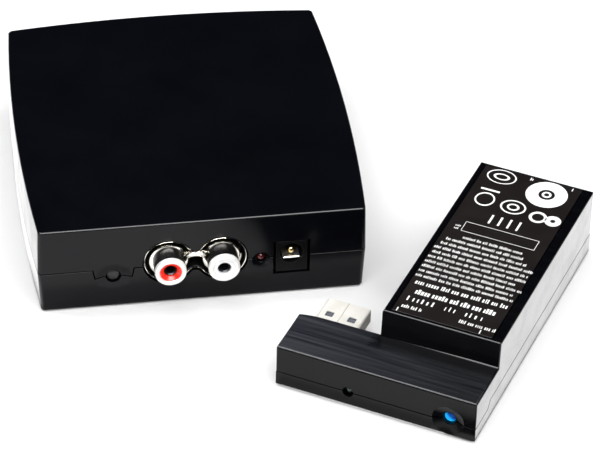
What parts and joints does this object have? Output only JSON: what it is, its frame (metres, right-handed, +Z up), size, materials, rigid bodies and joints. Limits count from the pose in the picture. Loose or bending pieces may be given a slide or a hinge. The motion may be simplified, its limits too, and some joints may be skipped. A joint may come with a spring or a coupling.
{
  "type": "wireless audio sender and receiver kit",
  "caption": "Low black sender box with red and white phono sockets, DC inlet, lamp and recessed button, beside an L-shaped USB receiver with a stepped top and lit button.",
  "frame": {"origin": "on the table, under the middle of the bounding box of the two units as they lie side by side", "axes": "+Z up; +X to the right along the sender box's front face; +Y from its front, where the sockets are, to its back"},
  "size_m": [0.1498, 0.1602, 0.0261],
  "materials": {
    "box_plastic": "glossy black moulded plastic with a fine satin haze",
    "receiver_plastic": "satin to glossy black moulded plastic",
    "label_print": null,
    "inner_black": "plain black moulding",
    "phono_plating": "bright warm nickel plating",
    "contact_metal": "drawn nickel-plated sheet",
    "gold_metal": "gold-plated contact metal",
    "red_insert": "glossy red moulding",
    "white_insert": "glossy white moulding",
    "red_lens": "unlit dark red lens",
    "green_lens": "unlit dark green lens",
    "blue_lens": "blue light-guide button, lit from behind",
    "board": "green solder-masked circuit board",
    "foot_rubber": "matt black rubber",
    "plain_steel": "plain tinned steel"
  },
  "bodies": {
    "base_unit": {"base_upper_shell": "box_plastic", "base_lower_shell": "box_plastic", "base_circuit_board": "board", "phono_metal_shell": "phono_plating", "phono_housing": "inner_black", "phono_insulator_red": "red_insert", "phono_contact_red": "contact_metal", "phono_insulator_white": "white_insert", "phono_contact_white": "contact_metal", "base_lamp": "red_lens", "dc_inlet_body": "inner_black", "dc_inlet_pin": "gold_metal", "dc_inlet_spring": "contact_metal", "base_switch_body": "plain_steel", "base_radio_board": "board", "base_radio_can": "plain_steel", "base_aerial": "gold_metal", "base_audio_chip": "inner_black", "base_crystal": "plain_steel", "base_coil": "inner_black", "base_regulator": "inner_black", "base_capacitor_1": "inner_black", "base_capacitor_2": "inner_black", "base_capacitor_3": "inner_black", "base_screw_1": "plain_steel", "base_screw_2": "plain_steel", "base_screw_3": "plain_steel", "base_screw_4": "plain_steel", "base_foot_1": "foot_rubber", "base_foot_2": "foot_rubber", "base_foot_3": "foot_rubber", "base_foot_4": "foot_rubber"},
    "base_button": {"base_button_cap": "box_plastic", "base_switch_plunger": "inner_black"},
    "receiver_unit": {"receiver_upper_shell": "receiver_plastic", "receiver_lower_shell": "receiver_plastic", "receiver_label": "label_print", "receiver_circuit_board": "board", "usb_plug_shell": "contact_metal", "usb_plug_tongue": "inner_black", "usb_contact_1": "gold_metal", "usb_contact_2": "gold_metal", "usb_contact_3": "gold_metal", "usb_contact_4": "gold_metal", "receiver_lamp": "green_lens", "receiver_switch_body": "plain_steel", "receiver_radio_can": "plain_steel", "receiver_usb_chip": "inner_black", "receiver_crystal": "plain_steel", "receiver_audio_chip": "inner_black", "receiver_capacitor": "inner_black", "receiver_aerial": "gold_metal", "receiver_screw_1": "plain_steel"},
    "receiver_button": {"receiver_button_cap": "blue_lens", "receiver_switch_plunger": "inner_black"}
  },
  "joints": [
    {"name": "base_button_press", "type": "slide", "parent": "base_unit", "child": "base_button", "axis": [0, 1, 0], "range_m": [0, 0.0003], "stiffness_N_per_m": 400},
    {"name": "receiver_lift", "type": "slide", "parent": "base_unit", "child": "receiver_unit", "axis": [0, 0, 1], "range_m": [0, 0.04]},
    {"name": "receiver_button_press", "type": "slide", "parent": "receiver_unit", "child": "receiver_button", "axis": [0.5307, 0.8476, 0], "range_m": [0, 0.0003], "stiffness_N_per_m": 400}
  ]
}
